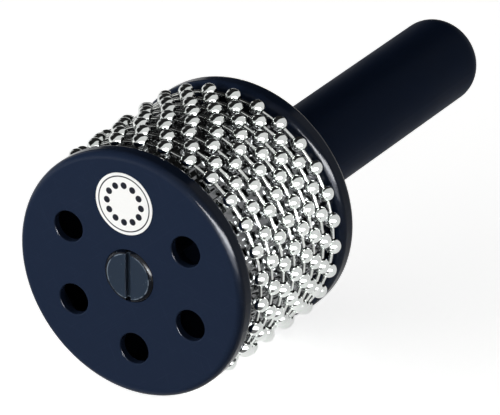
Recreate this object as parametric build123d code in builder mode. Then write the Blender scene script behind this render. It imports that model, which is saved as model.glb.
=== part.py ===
"""Cabasa: a ridged steel drum between two moulded plates, ringed by loops of steel ball chain,
and clamped to a round handle by one long slotted bolt. Millimetres, +Z up, handle along +Y.
The instrument lies on its chain loops, and the origin is under the middle of its box."""
import os
from math import cos, pi, radians, sin

from build123d import *

os.makedirs("parts", exist_ok=True)

# Moulded plates: each is a capped disc with a rim, a slot for the drum's edge and a centre boss
plate_diameter = 100.0
plate_thickness = 9.0
plate_wall = 3.0
plate_edge_radius = 2.9
plate_ring_width = 3.0
body_length = 80.9

# Sound holes ring the plate's centre, and the round label takes one of their six places.
# Both circles are set in from the plate's rim
hole_circle_inset = 19.7
hole_places = 6
sound_hole_radius = 6.3
sound_hole_edge_radius = 0.5
label_circle_inset = 20.3
label_diameter = 25.2
label_thickness = 0.2
label_turn = -3.6

# Ball chain: hollow beads on short headed links, closed into loops that ride loose on the drum.
# The bead centres run a little inside the plate's rim, so the beads stand proud of it
loop_count = 8
loop_inset = 1.8
bead_pitch = 10.8
bead_diameter = 6.35
bead_wall = 0.45
link_diameter = 1.45
link_clearance = 0.12
link_head_wall = 0.35
link_head_thickness = 0.7
link_head_place = 1.6
loop_clearance = 0.35

# Each loop's turn, clockwise from the top seen from the front, and how the loops' free play along
# the drum is shared out: before the first loop, between loops, and behind the last one
loop_turns = (-6.1, 2.1, -5.4, 3.3, -2.1, 4.5, -2.4, 3.9)
play_shares = (4.2, 1.6, 1.5, 1.5, 1.0, 0.4, 0.5, 0.9, 1.2)

# Drum: rolled steel tube with ridges along its outside, and a shallow groove between each two
drum_wall = 0.8
ridge_pitch = 3.05
groove_depth = 0.2
groove_radius = 4.6
drum_fit_clearance = 0.15

# Clamp bolt with a large slotted head, sunk into the front plate over a washer
bolt_diameter = 8.0
bolt_clearance = 0.25
bolt_end_chamfer = 0.8
bolt_end_reach = 2.0
head_diameter = 21.4
head_flat_diameter = 18.4
head_proud = 1.0
head_height = 4.0
head_clearance = 0.15
slot_width = 2.2
slot_depth = 2.0
slot_edge_chamfer = 0.25
washer_diameter = 18.0
washer_thickness = 1.2

# Handle: a closed moulded tube, glued over a plug that keys into the rear plate and holds the nut
handle_length = 155.1
handle_diameter = 35.4
handle_wall = 3.2
handle_end_radius = 11.0
handle_front_edge_radius = 0.6
plug_length = 30.0
plug_clearance = 0.05
key_across_flats = 20.0
key_depth = 5.0
key_clearance = 0.15
key_end_clearance = 0.3
nut_across_flats = 13.0
nut_thickness = 6.5
nut_clearance = 0.1
nut_recess = 0.5
thread_clearance = 0.05

# Places worked out from the sizes above
plate_radius = plate_diameter / 2
hole_circle_radius = plate_radius - hole_circle_inset
label_circle_radius = plate_radius - label_circle_inset
bead_radius = bead_diameter / 2
loop_radius = plate_radius - loop_inset
beads_per_loop = round(2 * pi * loop_radius / bead_pitch)
drum_radius = loop_radius - bead_radius - loop_clearance
drum_inner_radius = drum_radius - groove_depth - drum_wall
drum_length = body_length - 2 * plate_wall
ridge_count = round(2 * pi * drum_radius / ridge_pitch)
bolt_radius = bolt_diameter / 2
bolt_hole_radius = bolt_radius + bolt_clearance
head_radius = head_diameter / 2
head_recess_radius = head_radius + head_clearance
head_recess_depth = head_height - head_proud + washer_thickness
handle_radius = handle_diameter / 2
handle_inner_radius = handle_radius - handle_wall
nut_pocket_depth = nut_thickness + nut_recess
nut_place = body_length + plug_length - nut_pocket_depth
bolt_end = nut_place + nut_thickness + bolt_end_reach
front_y = -(body_length + handle_length - head_proud) / 2
axis_z = loop_radius + bead_radius

drum_axis = Axis((0, front_y, axis_z), (0, 1, 0))


def lengthwise(distance, facing=1):
    """Plane through the drum axis, x outwards, y to the handle, or forwards where facing is -1."""
    return Plane(origin=(0, front_y + distance, axis_z), x_dir=(1, 0, 0), z_dir=(0, 0, facing))


def across(distance):
    """Plane square to the drum axis, that far behind the front face, x up and z to the handle."""
    return Plane(origin=(0, front_y + distance, axis_z), x_dir=(0, 0, 1), z_dir=(0, 1, 0))


def hexagon_radius(across_flats):
    """Corner radius of a hexagon of that size."""
    return across_flats / 2 / cos(radians(30))


def plate_profile(section, boss_radius):
    """Half section of one plate: rim, slot for the drum's edge, locating ring, wall and boss."""
    slot_outer = drum_radius + drum_fit_clearance
    slot_inner = drum_inner_radius - drum_fit_clearance
    ring_inner = slot_inner - plate_ring_width
    with BuildSketch(section) as profile:
        with BuildLine():
            Polyline(
                (0, 0),
                (plate_radius, 0),
                (plate_radius, plate_thickness),
                (slot_outer, plate_thickness),
                (slot_outer, plate_wall),
                (slot_inner, plate_wall),
                (slot_inner, plate_thickness),
                (ring_inner, plate_thickness),
                (ring_inner, plate_wall),
                (boss_radius, plate_wall),
                (boss_radius, plate_thickness),
                (0, plate_thickness),
                close=True,
            )
        make_face()
        rim_corners = profile.vertices().group_by(Axis.X)[-1]
        fillet(rim_corners, plate_edge_radius)
    return profile.sketch


def save(piece, name):
    """Label a finished piece and write it to its own file."""
    piece.part.label = name
    export_step(piece.part, f"parts/{name}.step")


# Front plate, with its sound holes and the stepped seat of the bolt
with BuildPart() as front_plate:
    revolve(plate_profile(lengthwise(0), head_recess_radius + plate_wall), axis=drum_axis)
    hole_step = 360 / hole_places
    with BuildSketch(across(0)):
        with PolarLocations(
            hole_circle_radius,
            hole_places - 1,
            start_angle=label_turn + hole_step,
            angular_range=360 - hole_step,
        ):
            Circle(sound_hole_radius)
        Circle(bolt_hole_radius)
    extrude(amount=plate_thickness, mode=Mode.SUBTRACT)
    with BuildSketch(across(0)):
        Circle(head_recess_radius)
    extrude(amount=head_recess_depth, mode=Mode.SUBTRACT)
    hole_edges = front_plate.edges().filter_by(GeomType.CIRCLE)
    hole_edges = hole_edges.filter_by(lambda edge: abs(edge.radius - sound_hole_radius) < 0.01)
    fillet(hole_edges.group_by(Axis.Y)[0], sound_hole_edge_radius)
save(front_plate, "front_plate")

# Blank round label, stuck on the front plate
with BuildPart() as front_label:
    with BuildSketch(across(0)):
        with PolarLocations(label_circle_radius, 1, start_angle=label_turn):
            Circle(label_diameter / 2)
    extrude(amount=-label_thickness)
save(front_label, "front_label")

# Clamp bolt: a low head with a rounded shoulder, a screwdriver slot and a long shank
with BuildPart() as clamp_bolt:
    with BuildSketch(lengthwise(0)):
        with BuildLine():
            shoulder_start = (head_flat_diameter / 2, -head_proud)
            shoulder = TangentArc(shoulder_start, (head_radius, 0), tangent=(1, 0))
            Polyline(
                shoulder @ 1,
                (head_radius, head_height - head_proud),
                (bolt_radius, head_height - head_proud),
                (bolt_radius, bolt_end - bolt_end_chamfer),
                (bolt_radius - bolt_end_chamfer, bolt_end),
                (0, bolt_end),
                (0, -head_proud),
                shoulder @ 0,
            )
        make_face()
    revolve(axis=drum_axis)
    with BuildSketch(lengthwise(-head_proud)):
        with BuildLine():
            Polyline(
                (0, 0),
                (slot_width / 2 + slot_edge_chamfer, 0),
                (slot_width / 2, slot_edge_chamfer),
                (slot_width / 2, slot_depth),
                (0, slot_depth),
                close=True,
            )
        make_face()
        mirror(about=Plane.YZ)
    extrude(amount=head_diameter, both=True, mode=Mode.SUBTRACT)
save(clamp_bolt, "clamp_bolt")

# Washer on the floor of the bolt head's seat
with BuildPart() as bolt_washer:
    with BuildSketch(across(head_height - head_proud)):
        Circle(washer_diameter / 2)
        Circle(bolt_hole_radius, mode=Mode.SUBTRACT)
    extrude(amount=washer_thickness)
save(bolt_washer, "bolt_washer")

# Drum, whose ends stand in the slots of the two plates
with BuildPart() as drum:
    with BuildSketch(across(plate_wall)):
        Circle(drum_radius)
        with PolarLocations(drum_radius - groove_depth + groove_radius, ridge_count):
            Circle(groove_radius, mode=Mode.SUBTRACT)
        Circle(drum_inner_radius, mode=Mode.SUBTRACT)
    extrude(amount=drum_length)
save(drum, "drum")

# Rear plate, with a hexagonal socket for the key of the handle's plug
with BuildPart() as rear_plate:
    socket_radius = hexagon_radius(key_across_flats + 2 * key_clearance)
    revolve(plate_profile(lengthwise(body_length, facing=-1), socket_radius + plate_wall), axis=drum_axis)
    with BuildSketch(across(body_length)):
        RegularPolygon(socket_radius, 6)
    extrude(amount=-key_depth, mode=Mode.SUBTRACT)
    with BuildSketch(across(body_length)):
        Circle(bolt_hole_radius)
    extrude(amount=-plate_thickness, mode=Mode.SUBTRACT)
save(rear_plate, "rear_plate")

# Handle: a straight tube with a rounded closed end
with BuildPart() as handle:
    with BuildSketch(lengthwise(body_length)) as handle_profile:
        with BuildLine():
            Polyline(
                (handle_inner_radius, 0),
                (handle_radius, 0),
                (handle_radius, handle_length),
                (0, handle_length),
                (0, handle_length - handle_wall),
                (handle_inner_radius, handle_length - handle_wall),
                close=True,
            )
        make_face()
        inside_corner = handle_profile.vertices().group_by(Axis.X)[1].sort_by(Axis.Y)[-1]
        fillet(inside_corner, handle_end_radius - handle_wall)
        front_corner = handle_profile.vertices().group_by(Axis.X)[-1].sort_by(Axis.Y)[0]
        fillet(front_corner, handle_front_edge_radius)
        end_corner = handle_profile.vertices().group_by(Axis.X)[-1].sort_by(Axis.Y)[-1]
        fillet(end_corner, handle_end_radius)
    revolve(axis=drum_axis)
save(handle, "handle")

# Plug inside the handle: hexagonal key forward, pocket for the nut at the back
with BuildPart() as handle_plug:
    with BuildSketch(across(body_length)):
        Circle(handle_inner_radius - plug_clearance)
    extrude(amount=plug_length)
    with BuildSketch(across(body_length)):
        RegularPolygon(hexagon_radius(key_across_flats), 6)
    extrude(amount=-(key_depth - key_end_clearance))
    with BuildSketch(across(body_length + plug_length)):
        RegularPolygon(hexagon_radius(nut_across_flats + 2 * nut_clearance), 6)
    extrude(amount=-nut_pocket_depth, mode=Mode.SUBTRACT)
    with BuildSketch(across(body_length - key_depth)):
        Circle(bolt_hole_radius)
    extrude(amount=key_depth + plug_length, mode=Mode.SUBTRACT)
save(handle_plug, "handle_plug")

# Nut that the bolt draws up inside the plug
with BuildPart() as clamp_nut:
    with BuildSketch(across(nut_place)):
        RegularPolygon(hexagon_radius(nut_across_flats), 6)
        Circle(bolt_radius + thread_clearance, mode=Mode.SUBTRACT)
    extrude(amount=nut_thickness)
save(clamp_nut, "clamp_nut")

# One bead, its chain axis along y: a hollow ball with a hole at each end, wide enough for the links
# to lean in it where the loop bends
half_step = radians(180 / beads_per_loop)
bead_hole_radius = link_diameter / 2 + bead_radius * sin(half_step) + link_clearance
with BuildPart() as bead:
    Sphere(bead_radius, rotation=(90, 0, 0))
    Sphere(bead_radius - bead_wall, rotation=(90, 0, 0), mode=Mode.SUBTRACT)
    Cylinder(bead_hole_radius, bead_diameter, rotation=(90, 0, 0), mode=Mode.SUBTRACT)

# One link, along y between two bead centres: a rod with a flat head caught in each bead
half_chord = loop_radius * sin(half_step)
head_place = half_chord - link_head_place
with BuildPart() as link:
    Cylinder(link_diameter / 2, 2 * head_place, rotation=(90, 0, 0))
    with Locations((0, head_place, 0), (0, -head_place, 0)):
        Cylinder(bead_hole_radius + link_head_wall, link_head_thickness, rotation=(90, 0, 0))

# Chain loops, packed along the drum with their free play shared between them
free_play = body_length - 2 * plate_thickness - loop_count * bead_diameter
play_unit = free_play / sum(play_shares)
for number in range(loop_count):
    play_before = play_unit * sum(play_shares[: number + 1])
    place = plate_thickness + play_before + (number + 0.5) * bead_diameter
    turn = loop_turns[number]
    with BuildPart(across(place)) as bead_loop:
        with PolarLocations(loop_radius, beads_per_loop, start_angle=turn):
            add(bead.part)
    save(bead_loop, f"bead_loop_{number + 1}")
    with BuildPart(across(place)) as link_loop:
        with PolarLocations(
            loop_radius * cos(half_step),
            beads_per_loop,
            start_angle=turn + 180 / beads_per_loop,
        ):
            add(link.part)
    save(link_loop, f"link_loop_{number + 1}")
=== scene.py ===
"""Looks of the cabasa: finishes for its plates, drum, ball chain, bolt and handle, a printed round
label, and a small white studio with softboxes, seen from the front right. Metres, +Z up."""
import logging
import math
from dataclasses import dataclass, field
from enum import Enum
from typing import Any

import bmesh
import bpy
from mathutils import Matrix, Vector


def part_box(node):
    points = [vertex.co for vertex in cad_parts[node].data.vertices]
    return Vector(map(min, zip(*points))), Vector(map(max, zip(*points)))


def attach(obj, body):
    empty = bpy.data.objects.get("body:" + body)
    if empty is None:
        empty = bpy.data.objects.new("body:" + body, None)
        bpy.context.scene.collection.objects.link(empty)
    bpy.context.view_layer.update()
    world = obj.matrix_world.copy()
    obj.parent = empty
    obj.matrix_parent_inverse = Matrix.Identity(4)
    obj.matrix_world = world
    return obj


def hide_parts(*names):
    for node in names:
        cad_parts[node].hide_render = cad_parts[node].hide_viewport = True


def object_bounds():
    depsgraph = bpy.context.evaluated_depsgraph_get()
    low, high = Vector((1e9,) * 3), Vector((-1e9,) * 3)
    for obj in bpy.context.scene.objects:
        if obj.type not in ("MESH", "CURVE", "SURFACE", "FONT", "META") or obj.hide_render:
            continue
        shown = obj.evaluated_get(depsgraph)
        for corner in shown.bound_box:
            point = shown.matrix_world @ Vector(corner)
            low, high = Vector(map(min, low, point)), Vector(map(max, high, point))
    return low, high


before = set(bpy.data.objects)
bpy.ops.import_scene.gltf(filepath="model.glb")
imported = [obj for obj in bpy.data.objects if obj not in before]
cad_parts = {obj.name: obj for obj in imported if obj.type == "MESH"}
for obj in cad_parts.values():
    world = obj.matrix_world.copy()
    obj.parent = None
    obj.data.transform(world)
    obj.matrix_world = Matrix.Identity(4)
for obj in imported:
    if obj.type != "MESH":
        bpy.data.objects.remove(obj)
CAD_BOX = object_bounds()
MM = 0.001
# Radians that a wave texture of scale 1 goes through in one unit
WAVE_RATE = 20.0
ROOT_BODY = "instrument"
LOG = logging.getLogger("cabasa")

Colour = tuple[float, float, float, float]
Triple = tuple[float, float, float]
Pair = tuple[float, float]


def linear(colour: str) -> Colour:
    """Turn an sRGB hex colour into linear light.

    Args:
        colour: Six hex digits.

    Returns:
        Linear red, green and blue, with an alpha of 1.
    """
    channels = [int(colour[at:at + 2], 16) / 255 for at in (0, 2, 4)]
    red, green, blue = (c / 12.92 if c <= 0.04045 else ((c + 0.055) / 1.055) ** 2.4 for c in channels)
    return red, green, blue, 1.0


def per_metre(size_mm: float) -> float:
    """Texture scale at which a pattern on metre coordinates repeats every size_mm."""
    return 1 / (size_mm * MM)


def add_node(tree: bpy.types.NodeTree, kind: str, inputs: dict[Any, Any] | None = None,
             **settings: Any) -> bpy.types.Node:
    """Add one shader node, set its options and fill its inputs.

    Args:
        tree: Node tree that the node joins.
        kind: Node type without its ShaderNode prefix.
        inputs: Socket names or numbers, each with a constant or with an output socket to link.
        settings: Options of the node, by property name.

    Returns:
        The new node.
    """
    node = tree.nodes.new("ShaderNode" + kind)
    for name, value in settings.items():
        setattr(node, name, value)
    for socket, value in (inputs or {}).items():
        if isinstance(value, bpy.types.NodeSocket):
            tree.links.new(value, node.inputs[socket])
        else:
            node.inputs[socket].default_value = value
    return node


def empty_tree(owner: bpy.types.Material | bpy.types.World) -> bpy.types.NodeTree:
    """Give a material or a world a node tree with nothing in it.

    Args:
        owner: Material or world.

    Returns:
        Its node tree.
    """
    owner.use_nodes = True
    owner.node_tree.nodes.clear()
    return owner.node_tree


def add_piece(name: str, shape: bmesh.types.BMesh) -> bpy.types.Object:
    """Turn a finished bmesh into an object of the scene, and free it.

    Args:
        name: Name of the object and of its mesh.
        shape: The bmesh.

    Returns:
        The new object, at the origin.
    """
    mesh = bpy.data.meshes.new(name)
    shape.to_mesh(mesh)
    shape.free()
    piece = bpy.data.objects.new(name, mesh)
    bpy.context.scene.collection.objects.link(piece)
    return piece


def toward(azimuth_deg: float, elevation_deg: float) -> Vector:
    """Unit vector from the object to a place round it.

    Args:
        azimuth_deg: Angle round the object, 0 in front and 90 on its right.
        elevation_deg: Angle above the horizon.

    Returns:
        The vector.
    """
    azimuth = math.radians(azimuth_deg)
    elevation = math.radians(elevation_deg)
    level = math.cos(elevation)
    return Vector((math.sin(azimuth) * level, -math.cos(azimuth) * level, math.sin(elevation)))


def looking_at(aim: Vector, azimuth_deg: float, elevation_deg: float, distance: float) -> Matrix:
    """Placement of a camera, lamp or card that stands off from a point and faces it.

    Args:
        aim: Point that is faced.
        azimuth_deg: Angle round the object, 0 in front and 90 on its right.
        elevation_deg: Angle above the horizon.
        distance: Metres from the point.

    Returns:
        World matrix whose -Z axis points at the aim.
    """
    away = toward(azimuth_deg, elevation_deg)
    turn = (-away).to_track_quat("-Z", "Y")
    return Matrix.LocRotScale(aim + away * distance, turn, None)


class Working(Enum):
    """How a metal surface was worked: marks that run every way, or along its length."""

    TUMBLED = "tumbled"
    BRUSHED = "brushed"


@dataclass(frozen=True)
class Finish:
    """What all finishes share: a name, and a node tree that starts from metre coordinates."""

    name: str

    def material(self) -> bpy.types.Material:
        """Make the material that carries this finish.

        Returns:
            The new material.
        """
        material = bpy.data.materials.new(self.name)
        tree = empty_tree(material)
        place = add_node(tree, "TexCoord").outputs["Object"]
        add_node(tree, "OutputMaterial", {"Surface": self.surface(tree, place)})
        return material

    def surface(self, tree: bpy.types.NodeTree, place: bpy.types.NodeSocket) -> bpy.types.NodeSocket:
        """Build the finish's own nodes.

        Args:
            tree: Node tree of the material.
            place: Metre coordinates of the surface.

        Returns:
            Shader socket for the material's output.
        """
        raise NotImplementedError

    def dress(self, *pieces: bpy.types.Object) -> None:
        """Put one material of this finish on all the given pieces.

        Args:
            pieces: Objects to dress.
        """
        material = self.material()
        for piece in pieces:
            if not piece.material_slots:
                piece.data.materials.append(material)
            for slot in piece.material_slots:
                slot.material = material


@dataclass(frozen=True)
class MouldedPlastic(Finish):
    """ABS from a mould: one deep colour under a smooth skin, with hairlines and dull patches from use.

    A cut is the pair of noise values between which a mark fades in.
    """

    colour: str
    worn_colour: str
    roughness: float
    gloss: float
    skin_mm: float
    skin_depth_mm: float
    hairline_mm: Pair
    hairline_share: float
    patch_mm: float
    patch_dulling: float
    ior: float = 1.5
    hairline_turns_deg: Triple = (24.0, -51.0, 78.0)
    hairline_cut: Pair = (0.66, 0.74)
    hairline_dulling: float = 0.3
    patch_cut: Pair = (0.3, 0.7)

    def surface(self, tree: bpy.types.NodeTree, place: bpy.types.NodeSocket) -> bpy.types.NodeSocket:
        """Draw the mould's skin as bump, and hairlines and patches as roughness and colour.

        Args:
            tree: Node tree of the material.
            place: Metre coordinates of the surface.

        Returns:
            Shader socket for the material's output.
        """
        skin = add_node(tree, "TexNoise", {
            "Vector": place, "Scale": per_metre(self.skin_mm), "Detail": 2.0})
        bump = add_node(tree, "Bump", {
            "Height": skin.outputs["Fac"], "Distance": self.skin_depth_mm * MM, "Strength": 1.0})
        patches = add_node(tree, "TexNoise", {
            "Vector": place, "Scale": per_metre(self.patch_mm), "Detail": 4.0})
        lines = self.hairlines(tree, place)
        wear = add_node(tree, "Math", {0: lines, 1: self.hairline_share}, operation="MULTIPLY").outputs[0]
        colour = add_node(tree, "Mix", {
            0: wear, 6: linear(self.colour), 7: linear(self.worn_colour)}, data_type="RGBA")
        patch_from, patch_to = self.patch_cut
        dulled = add_node(tree, "MapRange", {
            "Value": patches.outputs["Fac"], "From Min": patch_from, "From Max": patch_to,
            "To Min": self.roughness - self.patch_dulling, "To Max": self.roughness + self.patch_dulling})
        roughness = add_node(tree, "Math", {
            0: wear, 1: self.hairline_dulling, 2: dulled.outputs["Result"]}, operation="MULTIPLY_ADD")
        shader = add_node(tree, "BsdfPrincipled", {
            "Base Color": colour.outputs[2], "Roughness": roughness.outputs[0], "IOR": self.ior,
            "Specular IOR Level": self.gloss, "Normal": bump.outputs["Normal"]})
        return shader.outputs["BSDF"]

    def hairlines(self, tree: bpy.types.NodeTree, place: bpy.types.NodeSocket) -> bpy.types.NodeSocket:
        """Share of hairline at each point, from noise drawn out along several directions.

        Args:
            tree: Node tree of the material.
            place: Metre coordinates of the surface.

        Returns:
            Socket that is 1 on a hairline and 0 off it.
        """
        width, length = (per_metre(size) for size in self.hairline_mm)
        cut_from, cut_to = self.hairline_cut
        sets = []
        for turn_deg in self.hairline_turns_deg:
            turned = add_node(tree, "Mapping", {
                "Vector": place, "Rotation": (0, math.radians(turn_deg), 0)})
            drawn = add_node(tree, "Mapping", {
                "Vector": turned.outputs["Vector"], "Scale": (width, length, length)})
            streak = add_node(tree, "TexNoise", {
                "Vector": drawn.outputs["Vector"], "Scale": 1.0, "Detail": 1.0})
            line = add_node(tree, "MapRange", {
                "Value": streak.outputs["Fac"], "From Min": cut_from, "From Max": cut_to})
            sets.append(line.outputs["Result"])
        lines = sets[0]
        for other in sets[1:]:
            lines = add_node(tree, "Math", {0: lines, 1: other}, operation="MAXIMUM").outputs[0]
        return lines


@dataclass(frozen=True)
class WorkedMetal(Finish):
    """Bare or plated metal: fine marks that run as it was worked, small dents, and duller, toned patches.

    A cut is the pair of noise values between which a patch fades in.
    """

    bright: str
    dull: str
    roughness: Pair
    working: Working
    mark_mm: Pair
    mark_depth_mm: float
    dent_mm: float
    dent_depth_mm: float
    patch_mm: float
    patch_cut: Pair = (0.35, 0.75)
    full_dulling_at: float = 0.6

    def surface(self, tree: bpy.types.NodeTree, place: bpy.types.NodeSocket) -> bpy.types.NodeSocket:
        """Draw the marks and dents as bump, and the patches as colour and roughness.

        Args:
            tree: Node tree of the material.
            place: Metre coordinates of the surface.

        Returns:
            Shader socket for the material's output.
        """
        marks = self.marks(tree, place)
        dents = add_node(tree, "TexNoise", {
            "Vector": place, "Scale": per_metre(self.dent_mm), "Detail": 1.0})
        dented = add_node(tree, "Bump", {
            "Height": dents.outputs["Fac"], "Distance": self.dent_depth_mm * MM})
        marked = add_node(tree, "Bump", {
            "Height": marks, "Distance": self.mark_depth_mm * MM, "Normal": dented.outputs["Normal"]})
        patches = add_node(tree, "TexNoise", {
            "Vector": place, "Scale": per_metre(self.patch_mm), "Detail": 5.0, "Roughness": 0.6})
        patch_from, patch_to = self.patch_cut
        toned = add_node(tree, "MapRange", {
            "Value": patches.outputs["Fac"], "From Min": patch_from, "From Max": patch_to}).outputs["Result"]
        colour = add_node(tree, "Mix", {
            0: toned, 6: linear(self.bright), 7: linear(self.dull)}, data_type="RGBA")
        mixed = add_node(tree, "Math", {0: marks, 1: toned}, operation="MULTIPLY")
        low, high = self.roughness
        roughness = add_node(tree, "MapRange", {
            "Value": mixed.outputs[0], "From Max": self.full_dulling_at, "To Min": low, "To Max": high})
        shader = add_node(tree, "BsdfPrincipled", {
            "Base Color": colour.outputs[2], "Metallic": 1.0, "Roughness": roughness.outputs["Result"],
            "Normal": marked.outputs["Normal"]})
        return shader.outputs["BSDF"]

    def marks(self, tree: bpy.types.NodeTree, place: bpy.types.NodeSocket) -> bpy.types.NodeSocket:
        """Height of the fine marks, from 0 to 1, run as the metal was worked.

        Args:
            tree: Node tree of the material.
            place: Metre coordinates of the surface.

        Returns:
            Socket with the height.
        """
        width, length = (per_metre(size) for size in self.mark_mm)
        run = (width, length, width) if self.working is Working.BRUSHED else (width, width, width)
        drawn = add_node(tree, "Mapping", {"Vector": place, "Scale": run})
        streaks = add_node(tree, "TexNoise", {
            "Vector": drawn.outputs["Vector"], "Scale": 1.0, "Detail": 3.0})
        return streaks.outputs["Fac"]


@dataclass(frozen=True)
class BlackedSteel(Finish):
    """Turned steel under black oxide: a slate flat, a shoulder darkened to near black as painted shade for
    the dark it mirrors, and a thin ring of bright metal round the flat as a painted highlight.

    A cut is the pair of noise values between which a mark fades in.
    """

    axis: Triple
    flat_colour: str
    shoulder_black_and_shade_colour: str
    # The bright colour serves both the edge ring's painted highlight and the real nicks of bare metal.
    nick_and_edge_glint_colour: str
    flat_radius_mm: float
    edge_band_mm: float
    ring_mm: float
    ring_depth_mm: float
    nick_mm: Pair
    nick_turn_rad: float
    patch_mm: float
    flat_roughness: float
    shoulder_roughness: float
    gloss: float
    edge_glint_cut: Pair = (0.4, 0.58)
    nick_cut: Pair = (0.68, 0.76)
    nick_share: float = 0.6

    def surface(self, tree: bpy.types.NodeTree, place: bpy.types.NodeSocket) -> bpy.types.NodeSocket:
        """Draw flat, edge and shoulder by distance from the bolt's axis, with tool rings and nicks.

        Args:
            tree: Node tree of the material.
            place: Metre coordinates of the surface.

        Returns:
            Shader socket for the material's output.
        """
        centred = add_node(tree, "VectorMath", {0: place, 1: self.axis}, operation="SUBTRACT").outputs[0]
        parts = add_node(tree, "SeparateXYZ", {"Vector": centred})
        level = add_node(tree, "CombineXYZ", {"X": parts.outputs["X"], "Z": parts.outputs["Z"]})
        radius = add_node(tree, "VectorMath", {0: level.outputs[0]}, operation="LENGTH").outputs["Value"]
        edge = self.flat_radius_mm * MM
        edge_band = self.edge_band_mm * MM
        beyond = add_node(tree, "MapRange", {
            "Value": radius, "From Min": edge, "From Max": edge + edge_band}).outputs["Result"]
        # Painted shade: beyond the flat the colour turns near black, for the dark that the shoulder mirrors.
        body = add_node(tree, "Mix", {
            0: beyond, 6: linear(self.flat_colour), 7: linear(self.shoulder_black_and_shade_colour)}, data_type="RGBA")
        off_edge = add_node(tree, "Math", {0: radius, 1: edge}, operation="SUBTRACT")
        from_edge = add_node(tree, "Math", {0: off_edge.outputs[0]}, operation="ABSOLUTE")
        # Painted highlight: a thin ring of bright metal round the flat's edge, broken by noise.
        near_edge = add_node(tree, "MapRange", {
            "Value": from_edge.outputs[0], "From Max": edge_band, "To Min": 1.0, "To Max": 0.0})
        patches = add_node(tree, "TexNoise", {
            "Vector": place, "Scale": per_metre(self.patch_mm), "Detail": 3.0})
        glint_from, glint_to = self.edge_glint_cut
        broken = add_node(tree, "MapRange", {
            "Value": patches.outputs["Fac"], "From Min": glint_from, "From Max": glint_to})
        edge_glint = add_node(tree, "Math", {
            0: near_edge.outputs["Result"], 1: broken.outputs["Result"]}, operation="MULTIPLY")
        # wear holds the edge ring's painted highlight together with the real nicks of bare metal.
        wear = add_node(tree, "Math", {
            0: edge_glint.outputs[0], 1: self.nicks(tree, place)}, operation="MAXIMUM").outputs[0]
        colour = add_node(tree, "Mix", {
            0: wear, 6: body.outputs[2], 7: linear(self.nick_and_edge_glint_colour)}, data_type="RGBA")
        rings = add_node(tree, "TexWave", {
            "Vector": centred, "Scale": per_metre(self.ring_mm) * math.tau / WAVE_RATE,
            "Distortion": 1.5, "Detail": 2.0, "Detail Scale": 2.0},
            wave_type="RINGS", rings_direction="Y")
        bump = add_node(tree, "Bump", {"Height": rings.outputs["Fac"], "Distance": self.ring_depth_mm * MM})
        roughness = add_node(tree, "MapRange", {
            "Value": beyond, "To Min": self.flat_roughness, "To Max": self.shoulder_roughness})
        shader = add_node(tree, "BsdfPrincipled", {
            "Base Color": colour.outputs[2], "Metallic": wear, "Roughness": roughness.outputs["Result"],
            "Specular IOR Level": self.gloss, "Normal": bump.outputs["Normal"]})
        return shader.outputs["BSDF"]

    def nicks(self, tree: bpy.types.NodeTree, place: bpy.types.NodeSocket) -> bpy.types.NodeSocket:
        """Share of bare metal in the short nicks that a screwdriver leaves.

        Args:
            tree: Node tree of the material.
            place: Metre coordinates of the surface.

        Returns:
            Socket with the share.
        """
        width, length = (per_metre(size) for size in self.nick_mm)
        drawn = add_node(tree, "Mapping", {
            "Vector": place, "Rotation": (0, self.nick_turn_rad, 0), "Scale": (width, width, length)})
        scratches = add_node(tree, "TexNoise", {
            "Vector": drawn.outputs["Vector"], "Scale": 1.0, "Detail": 2.0})
        nick_from, nick_to = self.nick_cut
        nicks = add_node(tree, "MapRange", {
            "Value": scratches.outputs["Fac"], "From Min": nick_from, "From Max": nick_to,
            "To Max": self.nick_share})
        return nicks.outputs["Result"]


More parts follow.
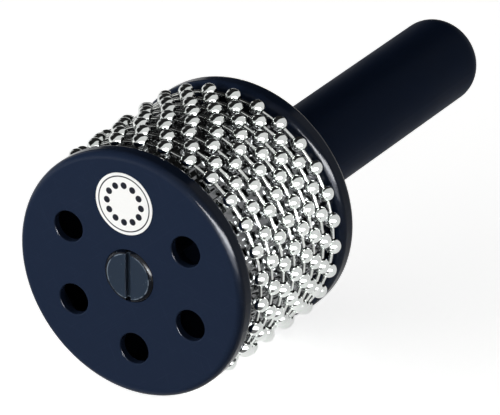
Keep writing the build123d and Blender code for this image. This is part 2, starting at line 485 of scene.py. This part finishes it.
@dataclass(frozen=True)
class PrintedVinyl(Finish):
    """White vinyl with a satin face, printed with a thin ring and a circle of round dots."""

    centre: Triple
    white: str
    ink: str
    ring_radius_mm: float
    ring_width_mm: float
    dot_circle_mm: float
    dot_radius_mm: float
    dot_count: int
    grain_mm: float
    grain_depth_mm: float
    grain_tint: Pair
    film_roughness: float
    ink_roughness: float
    edge_mm: float = 0.06

    def surface(self, tree: bpy.types.NodeTree, place: bpy.types.NodeSocket) -> bpy.types.NodeSocket:
        """Draw the print over the film's grain.

        Args:
            tree: Node tree of the material.
            place: Metre coordinates of the surface.

        Returns:
            Shader socket for the material's output.
        """
        ink = self.printed(tree, place)
        grain = add_node(tree, "TexNoise", {
            "Vector": place, "Scale": per_metre(self.grain_mm), "Detail": 3.0})
        tint_low, tint_high = self.grain_tint
        tint = add_node(tree, "MapRange", {
            "Value": grain.outputs["Fac"], "To Min": tint_low, "To Max": tint_high})
        colour = add_node(tree, "Mix", {
            0: ink, 6: linear(self.white), 7: linear(self.ink)}, data_type="RGBA")
        mottled = add_node(tree, "VectorMath", {
            0: colour.outputs[2], "Scale": tint.outputs["Result"]}, operation="SCALE")
        roughness = add_node(tree, "MapRange", {
            "Value": ink, "To Min": self.film_roughness, "To Max": self.ink_roughness})
        bump = add_node(tree, "Bump", {
            "Height": grain.outputs["Fac"], "Distance": self.grain_depth_mm * MM})
        shader = add_node(tree, "BsdfPrincipled", {
            "Base Color": mottled.outputs[0], "Roughness": roughness.outputs["Result"],
            "Normal": bump.outputs["Normal"]})
        return shader.outputs["BSDF"]

    def printed(self, tree: bpy.types.NodeTree, place: bpy.types.NodeSocket) -> bpy.types.NodeSocket:
        """Share of ink, by distance from the label's centre and from the nearest dot.

        Args:
            tree: Node tree of the material.
            place: Metre coordinates of the surface.

        Returns:
            Socket that is 1 on the print and 0 off it.
        """
        centred = add_node(tree, "VectorMath", {0: place, 1: self.centre}, operation="SUBTRACT")
        parts = add_node(tree, "SeparateXYZ", {"Vector": centred.outputs[0]})
        across, up = parts.outputs["X"], parts.outputs["Z"]
        flat = add_node(tree, "CombineXYZ", {"X": across, "Z": up})
        radius = add_node(tree, "VectorMath", {0: flat.outputs[0]}, operation="LENGTH").outputs["Value"]
        angle = add_node(tree, "Math", {0: across, 1: up}, operation="ARCTAN2").outputs[0]
        half = math.pi / self.dot_count
        offset = add_node(tree, "Math", {0: angle, 1: half, 2: -half}, operation="WRAP").outputs[0]
        cosine = add_node(tree, "Math", {0: offset}, operation="COSINE").outputs[0]
        sine = add_node(tree, "Math", {0: offset}, operation="SINE").outputs[0]
        outward = add_node(tree, "Math", {0: radius, 1: cosine, 2: -self.dot_circle_mm * MM},
                           operation="MULTIPLY_ADD").outputs[0]
        sideways = add_node(tree, "Math", {0: radius, 1: sine}, operation="MULTIPLY").outputs[0]
        from_dot = add_node(tree, "CombineXYZ", {"X": outward, "Y": sideways})
        dot = add_node(tree, "VectorMath", {0: from_dot.outputs[0]}, operation="LENGTH").outputs["Value"]
        off_ring = add_node(tree, "Math", {0: radius, 1: self.ring_radius_mm * MM}, operation="SUBTRACT")
        ring = add_node(tree, "Math", {0: off_ring.outputs[0]}, operation="ABSOLUTE").outputs[0]
        inked = []
        for reach, distance in ((self.dot_radius_mm, dot), (self.ring_width_mm / 2, ring)):
            edge = add_node(tree, "MapRange", {
                "Value": distance, "From Min": (reach - self.edge_mm) * MM,
                "From Max": (reach + self.edge_mm) * MM, "To Min": 1.0, "To Max": 0.0})
            inked.append(edge.outputs["Result"])
        return add_node(tree, "Math", {0: inked[0], 1: inked[1]}, operation="MAXIMUM").outputs[0]


@dataclass
class Plates:
    """Front and rear plates: glossy moulded ABS, near black with a cold navy cast."""

    nodes: tuple[str, ...] = ("front_plate", "rear_plate")
    # ABS from a polished mould: a deep, even navy black on the flat faces, and smooth highlights that
    # waver a little along the rounded edges. The skin's waves are as wide as real ones. The hairlines
    # of wiping are drawn about ten times wider than real, to show
    finish: Finish = MouldedPlastic(
        name="moulded_gloss_abs", colour="1d273a", worn_colour="364258", roughness=0.16, gloss=0.07,
        skin_mm=5.0, skin_depth_mm=0.004, hairline_mm=(0.35, 14.0), hairline_share=0.1,
        patch_mm=22.0, patch_dulling=0.05)

    def build(self) -> list[bpy.types.Object]:
        """Dress both plates.

        Returns:
            The plates.
        """
        pieces = [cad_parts[name] for name in self.nodes]
        self.finish.dress(*pieces)
        return pieces


@dataclass
class Handle:
    """Handle and its plug: satin moulded ABS, a shade darker than the plates."""

    nodes: tuple[str, ...] = ("handle", "handle_plug")
    # ABS from an etched mould: a navy black whose fine grain scatters the light, so that the handle shows
    # an even soft sheen and no glint. The grain is drawn about five times coarser than real, and the
    # hairlines of handling about ten times wider, to show
    finish: Finish = MouldedPlastic(
        name="etched_satin_abs", colour="141f33", worn_colour="1a2332", roughness=0.5, gloss=0.02,
        skin_mm=0.7, skin_depth_mm=0.02, hairline_mm=(0.5, 10.0), hairline_share=0.12,
        patch_mm=30.0, patch_dulling=0.06)

    def build(self) -> list[bpy.types.Object]:
        """Dress the handle and its plug.

        Returns:
            The handle and the plug.
        """
        pieces = [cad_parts[name] for name in self.nodes]
        self.finish.dress(*pieces)
        return pieces


@dataclass
class ChainLoops:
    """Eight loops of ball chain: nickel-plated beads, polished by tumbling, on drawn steel links."""

    count: int = 8
    # Nickel on steel, polished by tumbling: hard bright mirrors, whose small dents break up the edge of
    # each highlight. The tumbling marks are drawn about ten times coarser than real, to show
    bead_finish: Finish = WorkedMetal(
        name="tumbled_nickel", bright="e6e9e7", dull="d0d3d1", roughness=(0.03, 0.09),
        working=Working.TUMBLED, mark_mm=(0.5, 0.5), mark_depth_mm=0.0006,
        dent_mm=2.4, dent_depth_mm=0.01, patch_mm=9.0)
    # Drawn steel wire, tumbled with the beads: a shade greyer and softer than they are, so that each link
    # shows one pale streak. The marks are drawn about ten times coarser than real, to show
    link_finish: Finish = WorkedMetal(
        name="drawn_link_steel", bright="e2e4e2", dull="c4c6c4", roughness=(0.06, 0.16),
        working=Working.TUMBLED, mark_mm=(0.4, 0.4), mark_depth_mm=0.002,
        dent_mm=1.5, dent_depth_mm=0.004, patch_mm=7.0)

    def build(self) -> list[bpy.types.Object]:
        """Dress the beads and links of every loop.

        Returns:
            All beads, then all links.
        """
        numbers = range(1, self.count + 1)
        beads = [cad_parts[f"bead_loop_{number}"] for number in numbers]
        links = [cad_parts[f"link_loop_{number}"] for number in numbers]
        self.bead_finish.dress(*beads)
        self.link_finish.dress(*links)
        return beads + links


@dataclass
class Drum:
    """Ridged tube of stainless steel, brushed along its length."""

    node: str = "drum"
    # Stainless steel, brushed along the tube: mirrors in long streaks, cut up by the ridges, with the colour
    # painted a darker grey than stainless steel, as painted shade for the gaps between the loops of beads.
    # The brush marks are drawn about ten times wider than real, to show
    finish: Finish = WorkedMetal(
        name="brushed_ridged_stainless", bright="808183", dull="5e5f61", roughness=(0.03, 0.08),
        working=Working.BRUSHED, mark_mm=(0.3, 12.0), mark_depth_mm=0.0001,
        dent_mm=6.0, dent_depth_mm=0.0004, patch_mm=14.0)

    def build(self) -> list[bpy.types.Object]:
        """Dress the drum.

        Returns:
            The drum.
        """
        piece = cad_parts[self.node]
        self.finish.dress(piece)
        return [piece]


@dataclass
class Clamp:
    """Bolt, washer and nut: the bolt turned and blacked blue-grey, the others zinc-plated."""

    bolt: str = "clamp_bolt"
    hidden: tuple[str, ...] = ("bolt_washer", "clamp_nut")
    # Bright zinc plating: pale blue-grey with cloudy, half matt patches. Its crystal grain is drawn about
    # ten times coarser than real, to show
    hidden_finish: Finish = WorkedMetal(
        name="bright_zinc", bright="c3c8cc", dull="9aa0a3", roughness=(0.25, 0.45),
        working=Working.TUMBLED, mark_mm=(0.5, 0.5), mark_depth_mm=0.003,
        dent_mm=3.0, dent_depth_mm=0.004, patch_mm=4.0)

    def build(self) -> list[bpy.types.Object]:
        """Dress the bolt with rings round its own axis, and the hidden pieces plainly.

        Returns:
            The bolt, the washer and the nut.
        """
        low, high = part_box(self.bolt)
        middle = (low + high) / 2
        # Black oxide over turned steel: a slate flat, and a shoulder painted near black as painted shade for
        # the dark it mirrors, with a thin ring of bright metal round the flat as a painted highlight. The
        # tool's rings are drawn about twenty times wider than real, as a faint waver in the sheen, and the
        # nicks about five times wider, to show
        turned = BlackedSteel(
            name="blacked_turned_steel", axis=tuple(middle), flat_colour="212d3c", shoulder_black_and_shade_colour="070c16",
            nick_and_edge_glint_colour="9fadbb", flat_radius_mm=9.2, edge_band_mm=0.3, ring_mm=3.77, ring_depth_mm=0.002,
            nick_mm=(0.5, 2.4), nick_turn_rad=0.6, patch_mm=3.0, flat_roughness=0.36,
            shoulder_roughness=0.16, gloss=0.3)
        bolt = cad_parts[self.bolt]
        turned.dress(bolt)
        others = [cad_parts[name] for name in self.hidden]
        self.hidden_finish.dress(*others)
        return [bolt, *others]


@dataclass
class Label:
    """Round vinyl label on the front plate, with a softly cut edge and a plain printed ring of dots."""

    node: str = "front_label"
    slot: str = "label_vinyl"
    segments: int = 128
    edge_mm: float = 0.06

    def build(self) -> list[bpy.types.Object]:
        """Make the label where its solid is, and let it stand for that solid.

        Returns:
            The label.
        """
        low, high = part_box(self.node)
        radius = (high.x - low.x) / 2
        thickness = high.y - low.y
        centre = Vector(((low.x + high.x) / 2, high.y, (low.z + high.z) / 2))
        piece = self.disc(radius, thickness, centre)
        # Calendered vinyl, screen printed: a clean white with a satin sheen, and ink that shines a little
        # more than the bare film. The film's grain is drawn about ten times coarser than real, to show
        finish = PrintedVinyl(
            name="printed_vinyl", centre=tuple(centre), white="f4f4f2", ink="0d1220", ring_radius_mm=11.2,
            ring_width_mm=0.5, dot_circle_mm=7.6, dot_radius_mm=1.35, dot_count=12, grain_mm=0.6,
            grain_depth_mm=0.004, grain_tint=(0.97, 1.03), film_roughness=0.42, ink_roughness=0.3)
        finish.dress(piece)
        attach(piece, ROOT_BODY)
        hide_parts(self.node)
        return [piece]

    def disc(self, radius: float, thickness: float, centre: Vector) -> bpy.types.Object:
        """Model the label as a thin disc with a rounded outer edge, upright on the plate.

        Args:
            radius: Radius of the disc.
            thickness: Thickness of the disc.
            centre: Middle of the face that sticks to the plate.

        Returns:
            The new object.
        """
        shape = bmesh.new()
        bmesh.ops.create_circle(shape, cap_ends=True, segments=self.segments, radius=radius)
        raised = bmesh.ops.extrude_face_region(shape, geom=shape.faces[:], use_keep_orig=True)
        top = [item for item in raised["geom"] if isinstance(item, bmesh.types.BMVert)]
        bmesh.ops.translate(shape, vec=(0, 0, thickness), verts=top)
        rim = [edge for edge in shape.edges if all(vert in top for vert in edge.verts)]
        bmesh.ops.bevel(shape, geom=rim, offset=self.edge_mm * MM, affect="EDGES", segments=3, profile=0.5,
                        material=-1)
        bmesh.ops.recalc_face_normals(shape, faces=shape.faces[:])
        upright = Matrix.Translation(centre) @ Matrix.Rotation(math.radians(90), 4, "X")
        bmesh.ops.transform(shape, matrix=upright, verts=shape.verts[:])
        return add_piece("round_label", shape)


@dataclass(frozen=True)
class Softbox:
    """Square-on area lamp round the object: where it stands, its size, and how bright its cloth is."""

    name: str
    azimuth_deg: float
    elevation_deg: float
    distance: float
    width: float
    height: float
    radiance: float
    gloss_of: tuple[str, ...] = ()

    def build(self, aim: Vector) -> None:
        """Hang the softbox so that it faces the aim, to light all, or to glint on a few nodes alone.

        Args:
            aim: Point that the softbox faces.
        """
        lamp = bpy.data.lights.new(self.name, "AREA")
        lamp.shape = "RECTANGLE"
        lamp.size = self.width
        lamp.size_y = self.height
        lamp.energy = self.radiance * math.pi * self.width * self.height
        hung = bpy.data.objects.new(self.name, lamp)
        bpy.context.scene.collection.objects.link(hung)
        hung.matrix_world = looking_at(aim, self.azimuth_deg, self.elevation_deg, self.distance)
        hung.visible_camera = False
        hung.visible_diffuse = not self.gloss_of
        hung.visible_glossy = bool(self.gloss_of)
        if self.gloss_of:
            glinting = bpy.data.collections.new(f"{self.name}_nodes")
            for name in self.gloss_of:
                glinting.objects.link(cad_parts[name])
            hung.light_linking.receiver_collection = glinting


@dataclass(frozen=True)
class Card:
    """Card that only polished surfaces see: a softbox's cloth, or a dark flag, graded to its edge."""

    name: str
    azimuth_deg: float
    elevation_deg: float
    distance: float
    width: float
    height: float
    middle: float
    edge: float
    own_aim: Triple | None = None
    even_share: float = 0.2

    def build(self, aim: Vector) -> None:
        """Stand the card so that it faces the aim.

        Args:
            aim: Point that the card faces, unless it has an aim of its own.
        """
        shape = bmesh.new()
        bmesh.ops.create_grid(shape, x_segments=1, y_segments=1, size=0.5)
        bmesh.ops.scale(shape, vec=(self.width, self.height, 1), verts=shape.verts[:])
        card = add_piece(self.name, shape)
        faced = Vector(self.own_aim) if self.own_aim else aim
        card.matrix_world = looking_at(faced, self.azimuth_deg, self.elevation_deg, self.distance)
        card.visible_camera = False
        card.visible_diffuse = False
        card.visible_shadow = False
        material = bpy.data.materials.new(self.name)
        tree = empty_tree(material)
        place = add_node(tree, "TexCoord").outputs["Object"]
        shares = add_node(tree, "Mapping", {
            "Vector": place, "Scale": (2 / self.width, 2 / self.height, 0)})
        reach = add_node(tree, "VectorMath", {0: shares.outputs["Vector"]}, operation="LENGTH")
        strength = add_node(tree, "MapRange", {
            "Value": reach.outputs["Value"], "From Min": self.even_share, "To Min": self.middle,
            "To Max": self.edge}, interpolation_type="SMOOTHSTEP")
        glow = add_node(tree, "Emission", {"Strength": strength.outputs["Result"]})
        add_node(tree, "OutputMaterial", {"Surface": glow.outputs[0]})
        card.data.materials.append(material)


@dataclass
class Studio:
    """White sweep, soft lamps, bright and dark cards, and the camera."""

    lens_mm: float = 396.0
    sensor_mm: float = 36.0
    azimuth_deg: float = 32.317
    elevation_deg: float = 26.453
    distance: float = 2.1485
    aim: Triple = (-0.01039, -0.01639, 0.03471)
    floor_size: float = 16.0
    floor_white: str = "e6e6e4"
    floor_glow: float = 0.8
    floor_mirror_glow: float = 0.65
    fill_strength: float = 0.12
    softboxes: list[Softbox] = field(default_factory=lambda: [
        Softbox("key_softbox", azimuth_deg=62.0, elevation_deg=28.0, distance=1.5, width=2.4, height=1.8,
                radiance=0.25),
        Softbox("front_softbox", azimuth_deg=-34.0, elevation_deg=9.0, distance=1.8, width=2.4, height=0.56,
                radiance=9.0),
        Softbox("rim_softbox", azimuth_deg=55.0, elevation_deg=23.0, distance=1.5, width=2.4, height=0.5,
                radiance=85.0, gloss_of=("front_plate", "rear_plate")),
    ])
    cards: list[Card] = field(default_factory=lambda: [
        Card("key_cloth", azimuth_deg=46.0, elevation_deg=2.0, distance=1.5, width=3.2, height=1.8,
             middle=20.0, edge=1.0),
        Card("left_flag", azimuth_deg=-62.0, elevation_deg=38.0, distance=1.6, width=2.1, height=1.6,
             middle=0.01, edge=0.02),
        Card("ceiling_flag", azimuth_deg=-105.0, elevation_deg=66.0, distance=1.3, width=2.6, height=1.4,
             middle=0.02, edge=0.02),
        Card("back_flag", azimuth_deg=-150.0, elevation_deg=32.0, distance=1.6, width=1.9, height=1.6,
             middle=0.02, edge=0.02),
        Card("floor_flag", azimuth_deg=0.0, elevation_deg=90.0, distance=0.002, width=0.44, height=0.26,
             middle=0.2, edge=0.2, own_aim=(-0.08, -0.25, 0.0)),
    ])

    def build(self) -> None:
        """Set up the whole studio."""
        low, high = CAD_BOX
        middle = (low + high) / 2
        self.camera()
        self.floor()
        self.world()
        for softbox in self.softboxes:
            softbox.build(middle)
        for card in self.cards:
            card.build(middle)
        bpy.context.scene.view_settings.view_transform = "Standard"

    def camera(self) -> None:
        """Stand the camera at the photograph's angle, with no shift."""
        optics = bpy.data.cameras.new("camera")
        optics.lens = self.lens_mm
        optics.sensor_width = self.sensor_mm
        optics.clip_end = 100.0
        stand = bpy.data.objects.new("camera", optics)
        bpy.context.scene.collection.objects.link(stand)
        stand.matrix_world = looking_at(
            Vector(self.aim), self.azimuth_deg, self.elevation_deg, self.distance)
        bpy.context.scene.camera = stand

    def floor(self) -> None:
        """Lay a floor of matt white paper that glows to white for eye and mirror, and takes the shadow."""
        shape = bmesh.new()
        bmesh.ops.create_grid(shape, x_segments=1, y_segments=1, size=self.floor_size / 2)
        sheet = add_piece("floor", shape)
        material = bpy.data.materials.new("white_sweep")
        tree = empty_tree(material)
        paper = add_node(tree, "BsdfDiffuse", {"Color": linear(self.floor_white)})
        eye = add_node(tree, "LightPath").outputs["Is Camera Ray"]
        mirror = add_node(tree, "Math", {
            0: self.seen(tree), 1: self.floor_mirror_glow}, operation="MULTIPLY")
        strength = add_node(tree, "Math", {
            0: eye, 1: self.floor_glow - self.floor_mirror_glow, 2: mirror.outputs[0]},
            operation="MULTIPLY_ADD")
        glow = add_node(tree, "Emission", {"Strength": strength.outputs[0]})
        both = add_node(tree, "AddShader", {0: paper.outputs[0], 1: glow.outputs[0]})
        add_node(tree, "OutputMaterial", {"Surface": both.outputs[0]})
        sheet.data.materials.append(material)

    def world(self) -> None:
        """Make the surroundings white to eye and mirror, and a soft even fill for the rest."""
        world = bpy.data.worlds.new("studio")
        bpy.context.scene.world = world
        tree = empty_tree(world)
        strength = add_node(tree, "MapRange", {
            "Value": self.seen(tree), "To Min": self.fill_strength, "To Max": 1.0})
        glow = add_node(tree, "Background", {"Strength": strength.outputs["Result"]})
        add_node(tree, "OutputWorld", {"Surface": glow.outputs[0]})

    def seen(self, tree: bpy.types.NodeTree) -> bpy.types.NodeSocket:
        """Tell the rays of eye, mirror and glass from those that only carry light.

        Args:
            tree: Node tree of the floor's material or of the world.

        Returns:
            Socket that is 1 for camera, glossy and transmission rays, and 0 for the others.
        """
        path = add_node(tree, "LightPath")
        first = add_node(tree, "Math", {
            0: path.outputs["Is Camera Ray"], 1: path.outputs["Is Glossy Ray"]}, operation="MAXIMUM")
        either = add_node(tree, "Math", {
            0: first.outputs[0], 1: path.outputs["Is Transmission Ray"]}, operation="MAXIMUM")
        return either.outputs[0]


def main() -> None:
    """Build and dress every sub-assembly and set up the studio."""
    logging.basicConfig(level=logging.INFO, format="%(name)s: %(message)s")
    for assembly in (Plates(), Drum(), ChainLoops(), Clamp(), Handle(), Label()):
        for piece in assembly.build():
            LOG.info("%s dressed %s", type(assembly).__name__, piece.name)
    Studio().build()


if __name__ == "__main__":
    main()
